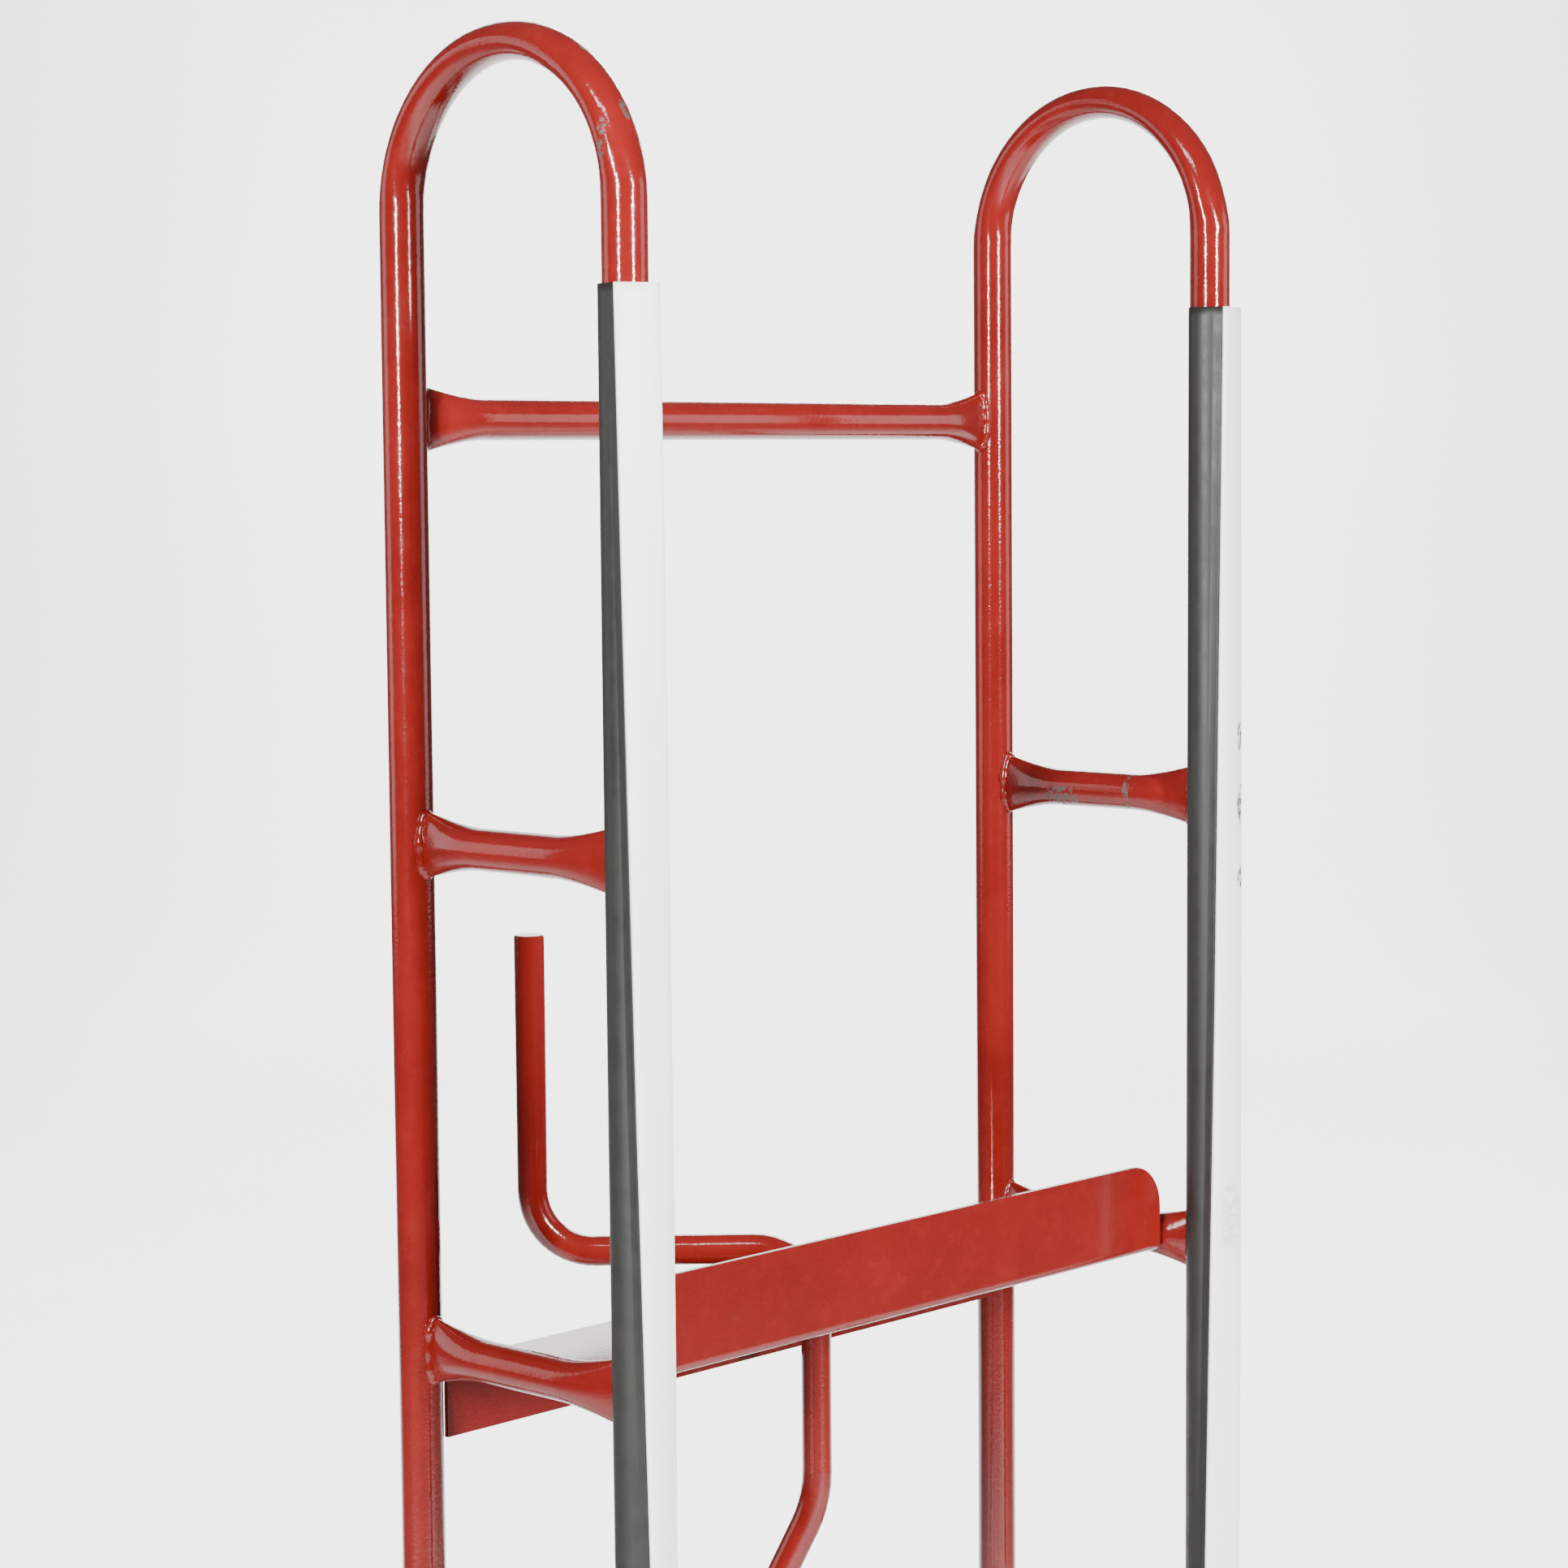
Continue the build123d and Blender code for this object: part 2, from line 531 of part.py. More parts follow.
save("axle", axle())
for side, sign in SIDES.items():
    save(f"axle_arm_{side}", axle_arm(sign * ARM_X, bar_skin))
spans = [(WHEEL_X + HUB_HALF + 0.4, half_w - BRACKET_T / 2), (ARM_X + BRACKET_T / 2, WHEEL_X - HUB_HALF - 0.4)]
spacers = [ring(x0, x1, 13.0, AXLE_R + 0.1, AXLE_Y, WHEEL_R) for x0, x1 in spans]
save("axle_spacers", *spacers, *[mirrored(s) for s in spacers])
washer = ring(BRACKET_OUT, BRACKET_OUT + 2.5, 17.0, AXLE_R + 0.1, AXLE_Y, WHEEL_R)
save("axle_washers", washer, mirrored(washer))
save("axle_split_pins", split_pin(PIN_X), split_pin(-PIN_X))

for side, sign in SIDES.items():
    x = sign * WHEEL_X
    save(f"wheel_tyre_{side}", tyre(x))
    save(f"wheel_rim_{side}", rim(x))
    save(f"wheel_bearings_{side}", *bearings(x))

rod = brake_rod()
save("brake_rod", rod)
save("rod_bush", rod_bush())
save("rod_collar", rod_collar())
save("rod_collar_screw", collar_screw())
lining_r = WHEEL_R + SHOE_GAP
save("brake_lining", shoe_sector(lining_r, lining_r + LINING_T))
save("brake_shoe", shoe_sector(lining_r + LINING_T, lining_r + LINING_T + SHOE_T))
save("brake_saddle", shoe_saddle(rod))
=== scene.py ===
"""Looks of the tyre hand truck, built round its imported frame. Metres, +Z up, -Y is the load side."""
import json
import math

import bmesh
import bpy
from mathutils import Matrix, Vector, noise


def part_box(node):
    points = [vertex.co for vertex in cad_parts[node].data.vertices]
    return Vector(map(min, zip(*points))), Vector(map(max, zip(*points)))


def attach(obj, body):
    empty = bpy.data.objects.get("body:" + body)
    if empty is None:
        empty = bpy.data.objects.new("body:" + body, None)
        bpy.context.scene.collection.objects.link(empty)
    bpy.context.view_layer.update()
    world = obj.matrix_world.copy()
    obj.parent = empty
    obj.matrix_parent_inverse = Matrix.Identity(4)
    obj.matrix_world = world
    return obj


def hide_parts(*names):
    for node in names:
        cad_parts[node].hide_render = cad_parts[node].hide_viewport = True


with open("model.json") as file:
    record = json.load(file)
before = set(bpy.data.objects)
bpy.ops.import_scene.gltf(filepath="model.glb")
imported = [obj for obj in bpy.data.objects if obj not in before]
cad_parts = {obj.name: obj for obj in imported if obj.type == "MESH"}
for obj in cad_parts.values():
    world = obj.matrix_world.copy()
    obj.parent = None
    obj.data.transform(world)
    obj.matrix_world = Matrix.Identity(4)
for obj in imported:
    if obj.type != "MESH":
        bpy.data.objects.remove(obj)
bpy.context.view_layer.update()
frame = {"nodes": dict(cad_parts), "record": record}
NODES = frame["nodes"]
SIDES = {"left": -1, "right": 1}
LEVELS = ("upper", "tray", "lower", "base")

# ---------------------------------------------------------------- sizes read from the frame
loop_low, loop_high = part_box("side_loop_right")
cap_low, cap_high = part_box("bumper_cap_right")
TRAY_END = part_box("cross_tray")[1].x
BUSH_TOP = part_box("rod_bush")[1].z
PIPE_R = 0.013335
X_SIDE = (cap_low.x + cap_high.x) / 2
Y_FRONT = loop_low.y + PIPE_R
Y_REAR = loop_high.y - PIPE_R
STRIP_Z0, STRIP_Z1 = cap_low.z, cap_high.z


def middle(node):
    low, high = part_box(node)
    return (low + high) / 2


# ---------------------------------------------------------------- shader building
class Shader:
    """Small helper that adds nodes to one material and links them by name."""

    def __init__(self, name):
        self.material = bpy.data.materials.new(name)
        self.material.use_nodes = True
        self.tree = self.material.node_tree
        self.bsdf = self.tree.nodes["Principled BSDF"]
        self.place = self.add("ShaderNodeTexCoord").outputs["Object"]

    def add(self, kind, **settings):
        made = self.tree.nodes.new(kind)
        for key, value in settings.items():
            setattr(made, key, value)
        return made

    def put(self, value, socket):
        if isinstance(value, bpy.types.NodeSocket):
            self.tree.links.new(value, socket)
        else:
            socket.default_value = value

    def math(self, operation, a, b=0.0, c=0.0):
        made = self.add("ShaderNodeMath", operation=operation)
        for value, socket in zip((a, b, c), made.inputs):
            self.put(value, socket)
        return made.outputs[0]

    def noise(self, scale, detail=2.0, roughness=0.5, stretch=None):
        place = self.place
        if stretch:
            mapping = self.add("ShaderNodeMapping")
            self.put(place, mapping.inputs["Vector"])
            mapping.inputs["Scale"].default_value = stretch
            place = mapping.outputs["Vector"]
        made = self.add("ShaderNodeTexNoise")
        self.put(place, made.inputs["Vector"])
        made.inputs["Scale"].default_value = scale
        made.inputs["Detail"].default_value = detail
        made.inputs["Roughness"].default_value = roughness
        return made.outputs[0]

    def ramp(self, value, low, high, bottom=0.0, top=1.0):
        """Smooth step from bottom at low to top at high."""
        made = self.add("ShaderNodeMapRange", interpolation_type="SMOOTHSTEP")
        for key, number in (("Value", value), ("From Min", low), ("From Max", high),
                            ("To Min", bottom), ("To Max", top)):
            self.put(number, made.inputs[key])
        return made.outputs["Result"]

    def mix(self, share, a, b):
        """Mix of two colours."""
        made = self.add("ShaderNodeMix", data_type="RGBA")
        self.put(share, made.inputs["Factor"])
        colours = [s for s in made.inputs if s.type == "RGBA"]
        for value, socket in zip((a, b), colours):
            self.put(value if isinstance(value, bpy.types.NodeSocket) else (*value, 1.0), socket)
        return [s for s in made.outputs if s.type == "RGBA"][0]

    def spot(self, centre, radii):
        """1 inside an ellipsoid about a point of the frame, 0 outside, soft between."""
        moved = self.add("ShaderNodeVectorMath", operation="SUBTRACT")
        self.put(self.place, moved.inputs[0])
        moved.inputs[1].default_value = centre
        scaled = self.add("ShaderNodeVectorMath", operation="DIVIDE")
        self.put(moved.outputs[0], scaled.inputs[0])
        scaled.inputs[1].default_value = radii
        length = self.add("ShaderNodeVectorMath", operation="LENGTH")
        self.put(scaled.outputs[0], length.inputs[0])
        return self.ramp(length.outputs["Value"], 0.7, 1.0, 1.0, 0.0)

    def bump(self, height, strength, distance, before=None):
        made = self.add("ShaderNodeBump")
        made.inputs["Strength"].default_value = strength
        made.inputs["Distance"].default_value = distance
        self.put(height, made.inputs["Height"])
        if before:
            self.put(before, made.inputs["Normal"])
        return made.outputs["Normal"]

    def set(self, **values):
        for key, value in values.items():
            self.put(value, self.bsdf.inputs[key.replace("_", " ")])
        return self.material


RED = (0.162, 0.0088, 0.0072)
RED_DEEP = (0.126, 0.0065, 0.0053)
RED_BRIGHT = (0.190, 0.0120, 0.0100)
PRIMER = (0.060, 0.054, 0.05)
DUST = (0.16, 0.075, 0.06)


def red_enamel(name="red_enamel", spots=()):
    """Gloss enamel: uneven colour, orange peel, sags, small inclusions, chips down to primer in spots."""
    s = Shader(name)
    broad = s.noise(9, 4, 0.6)
    fine = s.noise(70, 5, 0.65)
    colour = s.mix(s.ramp(broad, 0.35, 0.7), RED_DEEP, RED)
    colour = s.mix(s.ramp(fine, 0.45, 0.8, 0.0, 0.5), colour, RED_BRIGHT)
    specks = s.ramp(s.noise(420, 2, 0.5), 0.745, 0.765)
    colour = s.mix(s.math("MULTIPLY", specks, 0.55), colour, PRIMER)
    dust = s.ramp(s.noise(38, 8, 0.72), 0.56, 0.80, 0.0, 0.10)
    colour = s.mix(dust, colour, DUST)
    chips = None
    for centre, radii in spots:
        here = s.spot(centre, radii)
        chips = here if chips is None else s.math("MAXIMUM", chips, here)
    rough = s.ramp(s.noise(26, 5, 0.7), 0.3, 0.75, 0.09, 0.16)
    peel = s.noise(480, 2, 0.5)
    sag = s.noise(48, 3, 0.5, stretch=(1, 1, 0.45))
    if chips is not None:
        ragged = s.ramp(s.noise(260, 5, 0.75), 0.47, 0.54)
        chipped = s.math("MULTIPLY", chips, ragged)
        colour = s.mix(chipped, colour, PRIMER)
        rough = s.math("MAXIMUM", rough, s.math("MULTIPLY", chipped, 0.62))
        sag = s.math("SUBTRACT", sag, s.math("MULTIPLY", chipped, 0.5))
    normal = s.bump(sag, 0.07, 0.0011)
    normal = s.bump(peel, 0.35, 0.0003, normal)
    return s.set(Base_Color=colour, Roughness=rough, Normal=normal, Coat_Weight=0.03, Coat_Roughness=0.05)


def white_plastic(name, smudges=(), stains=()):
    """Off-white extruded cap: faint die lines, yellowing, grime and black rubber smudges."""
    s = Shader(name)
    broad = s.noise(5, 4, 0.6, stretch=(1, 1, 0.5))
    colour = s.mix(s.ramp(broad, 0.3, 0.75), (0.84, 0.84, 0.80), (0.90, 0.90, 0.875))
    grime = s.ramp(s.noise(55, 9, 0.75, stretch=(1, 1, 0.4)), 0.60, 0.82, 0.0, 0.4)
    colour = s.mix(grime, colour, (0.56, 0.53, 0.47))
    for centre, radii in stains:
        here = s.math("MULTIPLY", s.spot(centre, radii), s.ramp(s.noise(160, 4, 0.6), 0.38, 0.60, 0.0, 0.6))
        colour = s.mix(here, colour, (0.60, 0.50, 0.36))
    for centre, radii in smudges:
        streaks = s.ramp(s.noise(420, 6, 0.8, stretch=(1, 1, 0.5)), 0.45, 0.52)
        here = s.math("MULTIPLY", s.spot(centre, radii), streaks)
        colour = s.mix(here, colour, (0.04, 0.04, 0.04))
    die_lines = s.noise(900, 2, 0.6, stretch=(1, 1, 0.004))
    normal = s.bump(die_lines, 0.12, 0.0002)
    normal = s.bump(s.noise(120, 4, 0.6), 0.10, 0.0003, normal)
    rough = s.ramp(s.noise(40, 5, 0.7), 0.3, 0.7, 0.36, 0.5)
    return s.set(Base_Color=colour, Roughness=rough, Normal=normal)


def dark_rubber():
    """Smooth extruded rubber, greyed by handling, with long die lines and scuffs."""
    s = Shader("dark_rubber")
    broad = s.noise(7, 5, 0.6, stretch=(1, 1, 0.35))
    colour = s.mix(s.ramp(broad, 0.3, 0.75), (0.008, 0.008, 0.0070), (0.013, 0.013, 0.0117))
    scuffs = s.ramp(s.noise(240, 6, 0.8, stretch=(1, 1, 0.12)), 0.60, 0.78, 0.0, 0.35)
    colour = s.mix(scuffs, colour, (0.035, 0.035, 0.033))
    normal = s.bump(s.noise(800, 2, 0.6, stretch=(1, 1, 0.005)), 0.15, 0.0002)
    normal = s.bump(s.noise(500, 3, 0.6), 0.12, 0.00015, normal)
    rough = s.ramp(s.noise(60, 5, 0.7), 0.3, 0.7, 0.42, 0.56)
    return s.set(Base_Color=colour, Roughness=rough, Normal=normal)


def tyre_rubber():
    s = Shader("tyre_rubber")
    colour = s.mix(s.ramp(s.noise(20, 6, 0.7), 0.3, 0.75), (0.020, 0.020, 0.021), (0.040, 0.039, 0.038))
    dust = s.ramp(s.noise(90, 7, 0.8), 0.5, 0.8, 0.0, 0.5)
    colour = s.mix(dust, colour, (0.16, 0.145, 0.125))
    normal = s.bump(s.noise(700, 4, 0.7), 0.35, 0.0003)
    rough = s.ramp(s.noise(70, 4, 0.6), 0.3, 0.7, 0.62, 0.85)
    return s.set(Base_Color=colour, Roughness=rough, Normal=normal)


def zinc(name="zinc_plate", tone=(0.56, 0.55, 0.52), rough=0.34):
    """Dull zinc plate with a faint bloom and turning marks."""
    s = Shader(name)
    bloom = s.ramp(s.noise(90, 6, 0.7), 0.35, 0.75)
    dark = tuple(k * 0.62 for k in tone)
    colour = s.mix(bloom, dark, tone)
    rust = s.ramp(s.noise(150, 7, 0.8), 0.64, 0.78, 0.0, 0.6)
    colour = s.mix(rust, colour, (0.20, 0.10, 0.045))
    normal = s.bump(s.noise(1500, 2, 0.6, stretch=(0.15, 1, 1)), 0.2, 0.0001)
    roughness = s.ramp(s.noise(120, 4, 0.7), 0.3, 0.7, rough - 0.08, rough + 0.14)
    return s.set(Base_Color=colour, Roughness=roughness, Normal=normal, Metallic=0.9)


def wheel_paint():
    """Cream-grey stove enamel of the pressed rims, dusty in the dish."""
    s = Shader("wheel_paint")
    colour = s.mix(s.ramp(s.noise(14, 5, 0.6), 0.3, 0.75), (0.50, 0.49, 0.45), (0.62, 0.61, 0.57))
    grime = s.ramp(s.noise(60, 8, 0.75), 0.50, 0.75, 0.0, 0.7)
    colour = s.mix(grime, colour, (0.19, 0.16, 0.13))
    normal = s.bump(s.noise(350, 2, 0.5), 0.12, 0.0003)
    rough = s.ramp(s.noise(40, 4, 0.6), 0.3, 0.7, 0.28, 0.5)
    return s.set(Base_Color=colour, Roughness=rough, Normal=normal, Coat_Weight=0.15)


def black_plastic():
    s = Shader("black_plastic")
    colour = s.mix(s.ramp(s.noise(30, 5, 0.6), 0.3, 0.75), (0.018, 0.018, 0.018), (0.04, 0.04, 0.038))
    normal = s.bump(s.noise(900, 3, 0.6), 0.2, 0.0002)
    rough = s.ramp(s.noise(80, 4, 0.6), 0.3, 0.7, 0.4, 0.6)
    return s.set(Base_Color=colour, Roughness=rough, Normal=normal)


def lining_material():
    """Moulded friction lining, speckled with filings."""
    s = Shader("brake_lining")
    colour = s.mix(s.ramp(s.noise(60, 5, 0.6), 0.3, 0.75), (0.045, 0.038, 0.032), (0.085, 0.072, 0.06))
    specks = s.ramp(s.noise(900, 2, 0.5), 0.66, 0.70)
    colour = s.mix(specks, colour, (0.42, 0.33, 0.2))
    normal = s.bump(s.noise(700, 4, 0.7), 0.5, 0.0004)
    rough = s.ramp(s.noise(80, 4, 0.6), 0.3, 0.7, 0.7, 0.92)
    return s.set(Base_Color=colour, Roughness=rough, Normal=normal)


# ---------------------------------------------------------------- mesh building
def new_object(name, mesh, body, material):
    piece = bpy.data.objects.new(name, mesh)
    bpy.context.scene.collection.objects.link(piece)
    mesh.materials.clear()
    mesh.materials.append(material)
    mesh.shade_smooth()
    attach(piece, body)
    return piece


def rings_to_mesh(name, rings, closed_along=False, caps=True):
    """Mesh from equal rings of points; each ring is closed."""
    mesh = bpy.data.meshes.new(name)
    count = len(rings[0])
    points = [p for ring in rings for p in ring]
    faces = []
    steps = len(rings) if closed_along else len(rings) - 1
    for i in range(steps):
        j = (i + 1) % len(rings)
        for k in range(count):
            m = (k + 1) % count
            faces.append((i * count + k, i * count + m, j * count + m, j * count + k))
    if caps and not closed_along:
        faces.append(tuple(reversed(range(count))))
        faces.append(tuple((len(rings) - 1) * count + k for k in range(count)))
    mesh.from_pydata([tuple(p) for p in points], [], faces)
    bm = bmesh.new()
    bm.from_mesh(mesh)
    bmesh.ops.recalc_face_normals(bm, faces=bm.faces)
    bm.to_mesh(mesh)
    bm.free()
    return mesh


BEAD_SIDES = 10
PUDDLE = 0.0042                 # length of one puddle of weld metal


def bead(name, points, outward, radius, material, closed=True, seed=0):
    """Painted weld bead along a line of points: overlapping puddles, uneven in width."""
    count = len(points)
    rings = []
    travelled = 0.0
    for i, p in enumerate(points):
        if closed:
            before, after = points[i - 1], points[(i + 1) % count]
        else:
            before, after = points[max(i - 1, 0)], points[min(i + 1, count - 1)]
        along = (after - before).normalized()
        out = outward[i] - along * outward[i].dot(along)
        out.normalize()
        side = along.cross(out)
        travelled += (p - points[i - 1]).length if i else 0.0
        puddle = abs(math.sin(math.pi * travelled / PUDDLE + seed))
        lump = noise.noise(p * 160 + Vector((seed, 0, 0)))
        size = radius * (0.82 + 0.26 * puddle + 0.36 * lump)
        if not closed and i in (0, count - 1):
            size *= 0.35
        centre = p + out * radius * 0.12 * lump
        ring = [centre + (out * math.sin(a) * 0.86 + side * math.cos(a)) * size
                for a in (2 * math.pi * k / BEAD_SIDES for k in range(BEAD_SIDES))]
        rings.append(ring)
    mesh = rings_to_mesh(name, rings, closed_along=closed)
    return new_object(name, mesh, "frame", material)


def joined(name, pieces):
    """Join several new pieces into one object; they must be on the same body."""
    base = pieces[0]
    bm = bmesh.new()
    for piece in pieces:
        bm.from_mesh(piece.data)
    bm.to_mesh(base.data)
    bm.free()
    for piece in pieces[1:]:
        bpy.data.objects.remove(piece)
    base.name = name
    base.data.shade_smooth()
    return base


# ---------------------------------------------------------------- welds
WELD_R = 0.0034
BEAD_TALL, BEAD_THIN = 0.0188, 0.0050     # half height and half width of the bead round a crimped end


def weld_on_upright(name, upright, toward, z, material, seed):
    """Bead round a crimped tube's end on an upright; toward points from the upright along the tube."""
    toward = Vector(toward)
    across = Vector((0, 0, 1)).cross(toward)
    points, outward = [], []
    steps = 56
    for i in range(steps):
        turn = 2 * math.pi * i / steps
        offset = BEAD_THIN * math.cos(turn)
        height = BEAD_TALL * math.sin(turn)
        reach = math.sqrt(PIPE_R ** 2 - offset ** 2)
        points.append(upright + toward * (reach + 0.0003) + across * offset + Vector((0, 0, z + height)))
        away = across * math.cos(turn) * BEAD_TALL + Vector((0, 0, 1)) * math.sin(turn) * BEAD_THIN
        outward.append(away.normalized() + toward * 0.7)
    return bead(name, points, outward, WELD_R, material, seed=seed)


def frame_welds(material):
    seed = 1
    for side, sign in SIDES.items():
        front = Vector((sign * X_SIDE, Y_FRONT, 0))
        rear = Vector((sign * X_SIDE, Y_REAR, 0))
        for level in LEVELS:
            z = middle(f"{level}_stretcher_{side}").z
            ends = [weld_on_upright(f"w{seed}a", front, (0, 1, 0), z, material, seed),
                    weld_on_upright(f"w{seed}b", rear, (0, -1, 0), z, material, seed + 40)]
            joined(f"weld_{level}_stretcher_{side}", ends)
            seed += 1
    z = middle("rear_crossbar").z
    ends = []
    for sign in SIDES.values():
        rear = Vector((sign * X_SIDE, Y_REAR, 0))
        ends.append(weld_on_upright(f"wc{sign}", rear, (-sign, 0, 0), z, material, seed))
        seed += 1
    joined("weld_rear_crossbar", ends)


def stitch(name, start, stop, outward, material, seed):
    """Short open bead from one point to another."""
    start, stop = Vector(start), Vector(stop)
    steps = max(8, int((stop - start).length / 0.0007))
    points = [start.lerp(stop, i / steps) for i in range(steps + 1)]
    return bead(name, points, [Vector(outward)] * len(points), WELD_R * 0.8, material, False, seed)


def ring_bead(name, centre, normal, radius, outward, material, seed):
    """Closed bead round a bar; outward is how far the bead leans along the bar's axis."""
    normal = Vector(normal).normalized()
    aside = normal.orthogonal().normalized()
    beside = normal.cross(aside)
    spokes = [aside * math.cos(t) + beside * math.sin(t) for t in (2 * math.pi * i / 72 for i in range(72))]
    points = [Vector(centre) + spoke * radius for spoke in spokes]
    leaning = [spoke + normal * outward for spoke in spokes]
    return bead(name, points, leaning, WELD_R * 0.7, material, seed=seed)


def sheet_welds(material):
    """Stitches that hold the tray, the axle brackets and arms, and the bead round the rod's bush."""
    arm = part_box("axle_arm_right")
    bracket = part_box("axle_bracket_right")
    bar = middle("base_crossbar")
    rod = middle("rod_bush")
    for side, sign in SIDES.items():
        end = sign * (TRAY_END + 0.0002)
        pieces = [stitch(f"ws{side}{i}", (end, y, z), (end, y + 0.022, z - 0.0012), (sign * 0.4, 0, -1),
                         material, 90 + i)
                  for i, (y, z) in enumerate(((0.006, 0.7270), (0.044, 0.7249), (0.086, 0.7226)))]
        joined(f"weld_tray_{side}", pieces)
        x = sign * (arm[0].x + arm[1].x) / 2
        pieces = [stitch(f"wa{side}{k}", (x + k * 0.0034, 0.0136, bar.z - 0.010),
                         (x + k * 0.0034, 0.0136, bar.z + 0.010), (k, 0.4, 0), material, 110 + k)
                  for k in (-1, 1)]
        joined(f"weld_axle_arm_{side}", pieces)
        x = sign * (bracket[0].x + bracket[1].x) / 2
        pieces = [stitch(f"wb{side}{k}", (x + k * 0.0034, Y_REAR + 0.0132, bar.z - 0.034),
                         (x + k * 0.0034, Y_REAR + 0.0132, bar.z + 0.034), (k, 0.5, 0), material, 120 + k)
                  for k in (-1, 1)]
        joined(f"weld_axle_bracket_{side}", pieces)
    ring_bead("weld_rod_bush", (0, rod.y, BUSH_TOP - 0.0012), (0, 0, -1), 0.0147, 0.4, material, 130)


# ---------------------------------------------------------------- bumper strips
CHANNEL_R = 0.0158
LAND_HALF, LAND_Y = 0.014, 0.0143
CAP_EDGE_Y, CAP_CROWN_Y = 0.0164, 0.0186
GAP_HALF = math.radians(30)
CAP_STEPS, STRIP_STEPS = 14, 180
GROOVE = 0.0006                 # depth of the groove between channel and cap
# height and turn in degrees of each strip about its upright
TWIST = {
    "left": ((0.125, 8), (0.60, 16), (0.90, 0), (1.37, -21)),
    "right": ((0.125, -10), (0.52, -17), (0.90, 0), (1.37, 15)),
}


def twist_at(side, z):
    keys = TWIST[side]
    for (z0, a0), (z1, a1) in zip(keys, keys[1:]):
        if z <= z1:
            break
    t = min(1.0, max(0.0, (z - z0) / (z1 - z0)))
    return math.radians(a0 + (a1 - a0) * t)


def arc(radius, start, stop, steps):
    """Points on a circle; angle 0 faces the load and grows towards +X."""
    turns = [start + (stop - start) * i / steps for i in range(steps + 1)]
    return [(radius * math.sin(a), -radius * math.cos(a)) for a in turns]


def wrap(sign):
    """Outside of the channel on one side, thinning towards its open back."""
    points = []
    for degrees in range(58, 151, 4):
        thin = max(0.0, degrees - 122) / 28
        radius = CHANNEL_R - 0.0017 * thin ** 1.5
        turn = sign * math.radians(degrees)
        points.append((radius * math.sin(turn), -radius * math.cos(turn)))
    return points


def channel_section():
    lip = math.pi - GAP_HALF
    inner = arc(PIPE_R + 0.0002, lip - 0.02, -lip + 0.02, 48)
    shoulder = [(-LAND_HALF, -LAND_Y + 0.0012), (-LAND_HALF + 0.0004, -LAND_Y)]
    return wrap(1) + inner + wrap(-1)[::-1] + shoulder + [(-x, y) for x, y in reversed(shoulder)]


def cap_section():
    crown = [(LAND_HALF * math.cos(a), -CAP_EDGE_Y - (CAP_CROWN_Y - CAP_EDGE_Y) * math.sin(a))
             for a in (math.pi * i / CAP_STEPS for i in range(CAP_STEPS + 1))]
    return crown + [(-LAND_HALF, -LAND_Y - GROOVE), (-LAND_HALF + 2 * GROOVE, -LAND_Y - 0.0001),
                    (LAND_HALF - 2 * GROOVE, -LAND_Y - 0.0001), (LAND_HALF, -LAND_Y - GROOVE)]


def strip(name, side, section, material):
    """Extrusion down a front upright, turned slightly about the upright as it goes down."""
    x = SIDES[side] * X_SIDE
    rings = []
    for i in range(STRIP_STEPS + 1):
        z = STRIP_Z0 + (STRIP_Z1 - STRIP_Z0) * i / STRIP_STEPS
        turn = twist_at(side, z)
        c, s = math.cos(turn), math.sin(turn)
        rings.append([Vector((x + px * c - py * s, Y_FRONT + px * s + py * c, z)) for px, py in section])
    return new_object(name, rings_to_mesh(name, rings), "frame", material)


def bumper_strips():
    """Channel and cap of each side; the right cap carries rubber smudges and a stain."""
    rubber = dark_rubber()
    for side, sign in SIDES.items():
        smudges = []
        stains = []
        x = sign * X_SIDE
        if side == "right":
            smudges = [((x + 0.013, Y_FRONT - 0.017, z), (0.007, 0.012, h))
                       for z, h in ((1.083, 0.012), (1.038, 0.015), (0.988, 0.008))]
            stains = [((x, Y_FRONT - 0.018, 0.757), (0.011, 0.02, 0.03))]
        white = white_plastic(f"white_plastic_{side}", smudges, stains)
        channel = strip(f"bumper_channel_{side}_twisted", side, channel_section(), rubber)
        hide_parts(f"bumper_channel_{side}")
        cap = strip(f"bumper_cap_{side}_twisted", side, cap_section(), white)
        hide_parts(f"bumper_cap_{side}")


# ---------------------------------------------------------------- materials on the frame's own nodes
def dress(node, material):
    """Give a CAD node its material."""
    mesh = NODES[node].data
    mesh.materials.clear()
    mesh.materials.append(material)


enamel = red_enamel()
chipped_left = red_enamel("red_enamel_left_loop", spots=(
    ((-0.271, -0.0495, 1.470), (0.004, 0.005, 0.012)), ((-0.2865, -0.046, 1.450), (0.004, 0.004, 0.014)),
    ((-0.270, -0.012, 1.500), (0.009, 0.010, 0.007))))
worn_right = red_enamel("red_enamel_right_stretcher", spots=(
    ((0.262, 0.069, 1.036), (0.012, 0.017, 0.010)), ((0.262, 0.012, 1.043), (0.015, 0.003, 0.016))))
rubber = tyre_rubber()
steel = zinc()
bright = zinc("bearing_steel", (0.66, 0.66, 0.66), 0.22)
cream = wheel_paint()
plastic = black_plastic()
friction = lining_material()
by_slot = {"red_paint": enamel, "dark_rubber": plastic, "white_plastic": plastic, "zinc_steel": steel,
           "bearing_steel": bright, "tyre_rubber": rubber, "wheel_paint": cream, "black_plastic": plastic,
           "lining_rubber": friction}
for entry in frame["record"]["subparts"]:
    dress(entry["node"], by_slot[entry["material_slot"]])
for node in ("rod_collar", "rod_bush"):
    dress(node, enamel)
dress("side_loop_left", chipped_left)
dress("upper_stretcher_right", worn_right)

frame_welds(enamel)
sheet_welds(enamel)
bumper_strips()


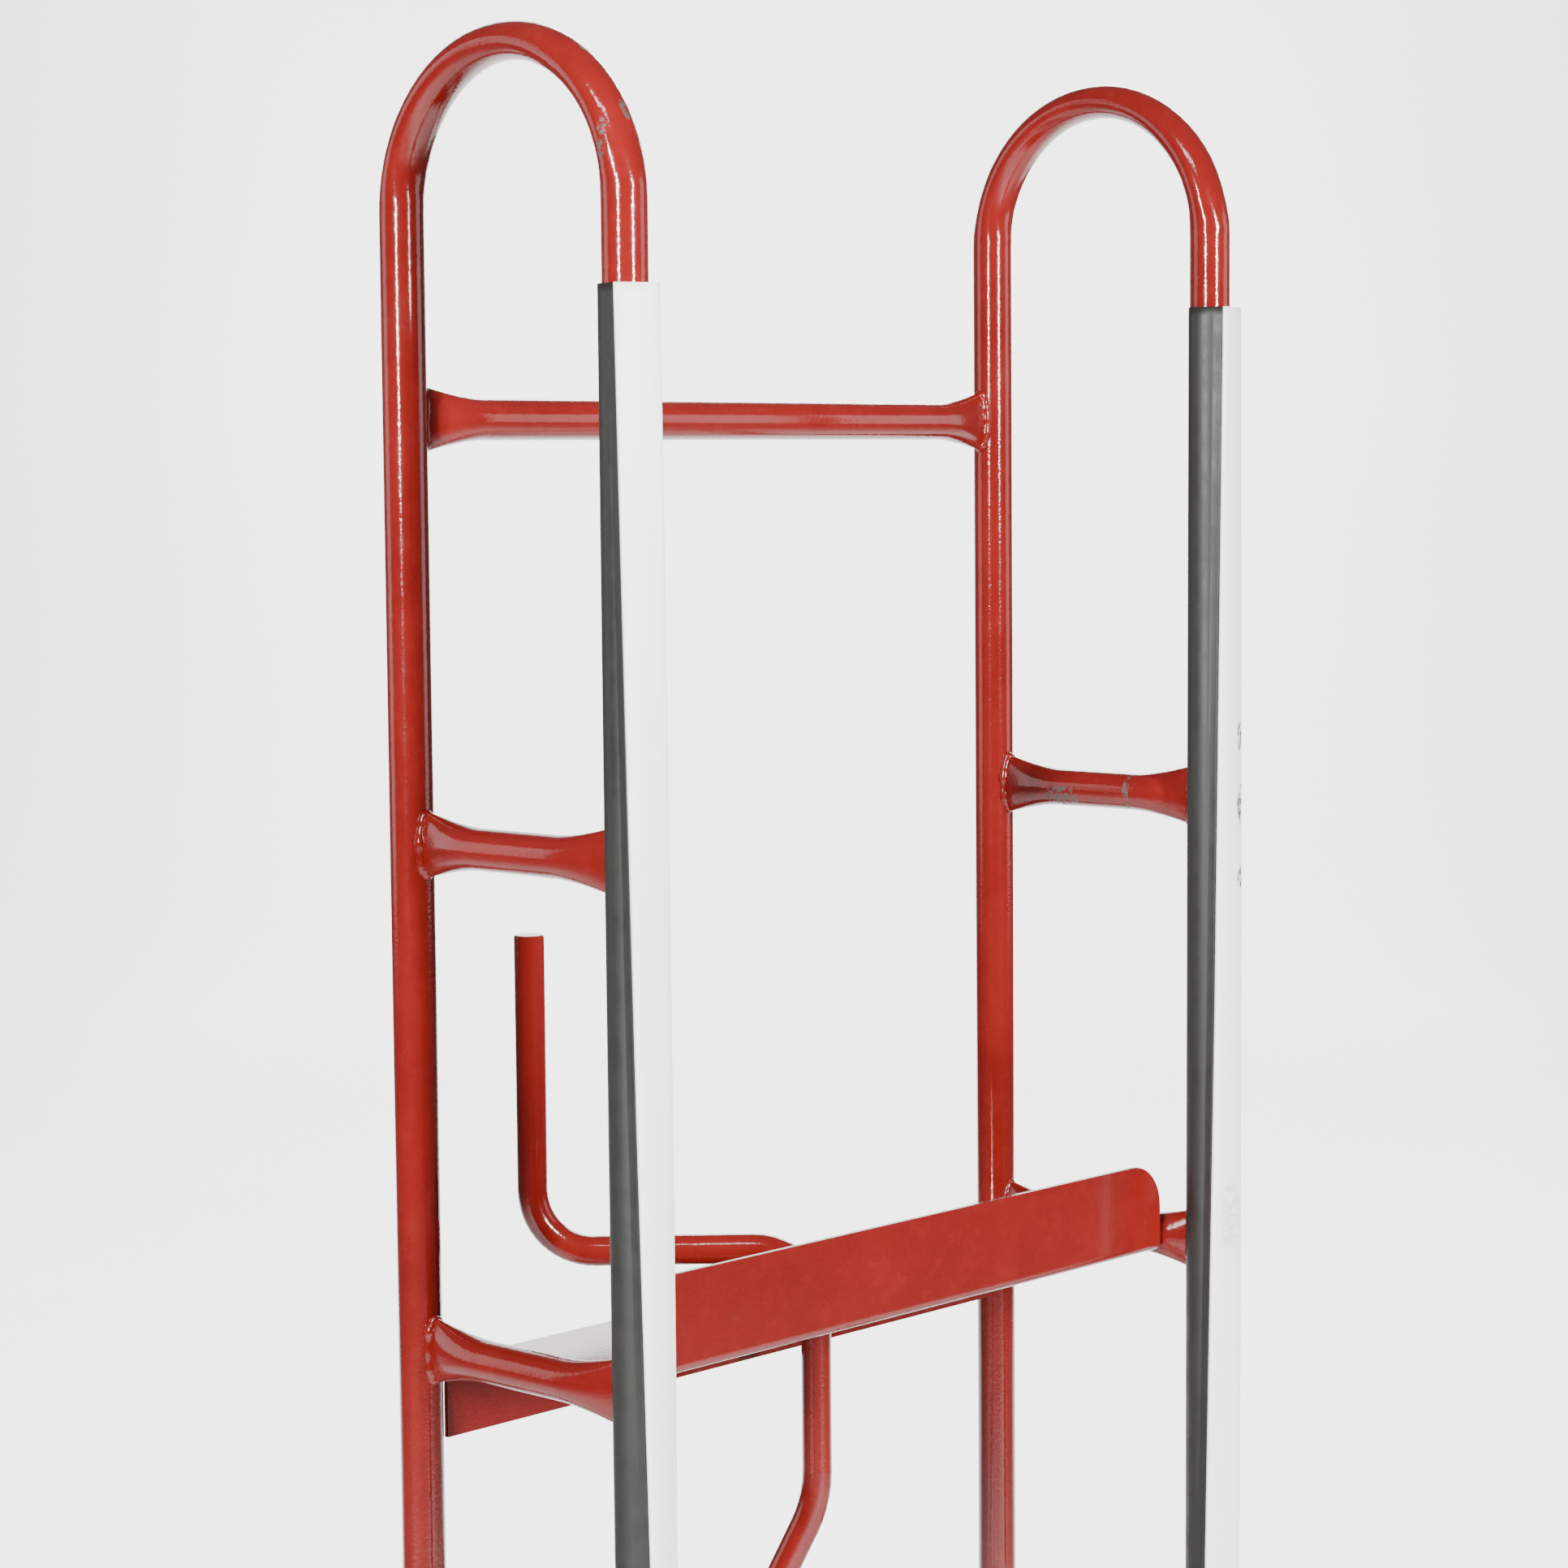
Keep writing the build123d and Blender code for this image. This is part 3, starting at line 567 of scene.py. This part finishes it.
# ---------------------------------------------------------------- studio
AWAY = Vector((0.7304, 0.6830, 0))          # from the camera past the truck, along the floor
BACKDROP_GLOW = 2.9
PAINTED_ROOM_SHADE = (0.18, 0.18, 0.18)                  # painted shade: dark grey on the studio away from the backdrop, standing in for the unlit room


def studio():
    """White cyclorama: a round floor that sweeps up into a wall, brightest behind the truck; painted shade
    darkens it near the camera and to the sides.
    """
    s = Shader("studio_floor")
    tone = s.ramp(s.noise(1.5, 3, 0.5), 0.3, 0.7)
    colour = s.mix(tone, (0.84, 0.84, 0.83), (0.88, 0.88, 0.87))
    along = s.add("ShaderNodeVectorMath", operation="DOT_PRODUCT")
    s.put(s.place, along.inputs[0])
    along.inputs[1].default_value = AWAY
    across = s.add("ShaderNodeVectorMath", operation="DOT_PRODUCT")
    s.put(s.place, across.inputs[0])
    across.inputs[1].default_value = (AWAY.y, -AWAY.x, 0)
    behind = s.ramp(along.outputs["Value"], 0.7, 1.7)
    beside = s.ramp(s.math("ABSOLUTE", across.outputs["Value"]), 2.25, 2.8, 1.0, 0.0)
    glow = s.math("MULTIPLY", s.math("MULTIPLY", behind, beside), BACKDROP_GLOW)
    # painted shade: floor and wall turn dark grey near the camera and to the flanks, standing in for the
    # unlit room
    near = s.ramp(along.outputs["Value"], -2.2, -1.1, 1.0, 0.0)
    flank = s.ramp(s.math("ABSOLUTE", across.outputs["Value"]), 1.2, 2.3)
    colour = s.mix(s.math("MAXIMUM", near, flank), colour, PAINTED_ROOM_SHADE)
    s.set(Base_Color=colour, Roughness=0.7, Emission_Color=(1.0, 1.0, 1.0, 1.0), Emission_Strength=glow)

    floor_r, bend_r, wall_top, around = 6.5, 1.5, 6.0, 72
    profile = [(0.02, 0.0), (1.5, 0.0), (3.5, 0.0)]
    profile += [(floor_r + bend_r * math.sin(a), bend_r - bend_r * math.cos(a))
                for a in (math.pi / 2 * i / 12 for i in range(13))]
    profile.append((floor_r + bend_r, wall_top))
    rings = [[Vector((r * math.cos(t), r * math.sin(t), h))
              for t in (2 * math.pi * k / around for k in range(around))] for r, h in profile]
    mesh = rings_to_mesh("studio_floor", rings, caps=False)
    mesh.shade_smooth()
    mesh.materials.append(s.material)
    floor = bpy.data.objects.new("studio_floor", mesh)
    bpy.context.scene.collection.objects.link(floor)

    world = bpy.data.worlds.new("studio")
    bpy.context.scene.world = world
    world.use_nodes = True
    world.node_tree.nodes["Background"].inputs["Color"].default_value = (1, 1, 1, 1)
    world.node_tree.nodes["Background"].inputs["Strength"].default_value = 0.15


def area_light(name, place, target, width, height, power, tint=(1, 1, 1)):
    light = bpy.data.lights.new(name, "AREA")
    light.shape = "RECTANGLE"
    light.size, light.size_y = width, height
    light.energy = power
    light.color = tint
    lamp = bpy.data.objects.new(name, light)
    bpy.context.scene.collection.objects.link(lamp)
    lamp.location = place
    lamp.rotation_euler = (Vector(target) - Vector(place)).to_track_quat("-Z", "Y").to_euler()


def camera():
    """Standing in front and to the left of the truck, at chest height, with a long lens."""
    azimuth, pitch, roll = math.radians(-46.92), math.radians(-4.86), math.radians(-0.49)
    level = Vector((-math.sin(azimuth), math.cos(azimuth), 0))
    forward = level * math.cos(pitch) + Vector((0, 0, math.sin(pitch)))
    right = Vector((math.cos(azimuth), math.sin(azimuth), 0))
    up = right.cross(forward)
    right, up = right * math.cos(roll) + up * math.sin(roll), up * math.cos(roll) - right * math.sin(roll)
    data = bpy.data.cameras.new("camera")
    data.lens, data.sensor_width = 86.08, 36.0
    data.clip_end = 60.0
    eye = bpy.data.objects.new("camera", data)
    bpy.context.scene.collection.objects.link(eye)
    turn = Matrix((right, up, -forward)).transposed().to_4x4()
    eye.matrix_world = Matrix.Translation((-1.76335, -1.5620, 1.26765)) @ turn
    bpy.context.scene.camera = eye


def from_camera(angle, distance, height):
    """Place seen from the truck at an angle from the camera, positive towards the camera's right."""
    turned = Matrix.Rotation(math.radians(angle), 4, "Z") @ -AWAY
    return Vector((turned.x * distance, turned.y * distance, height))


studio()
camera()
chest = Vector((0, 0.04, 1.15))
area_light("key_left", from_camera(-28, 3.2, 1.95), chest, 0.20, 1.3, 225)
area_light("key_right", from_camera(40, 3.2, 1.95), chest, 0.20, 1.3, 285)
area_light("side_right", from_camera(98, 3.4, 1.6), chest, 1.6, 2.0, 22)
area_light("side_left", from_camera(-98, 3.4, 1.6), chest, 1.6, 2.0, 18)
area_light("back", from_camera(170, 4.2, 3.0), chest, 2.0, 1.2, 90)
area_light("overhead", from_camera(-10, 2.2, 3.6), chest, 1.4, 0.3, 45)
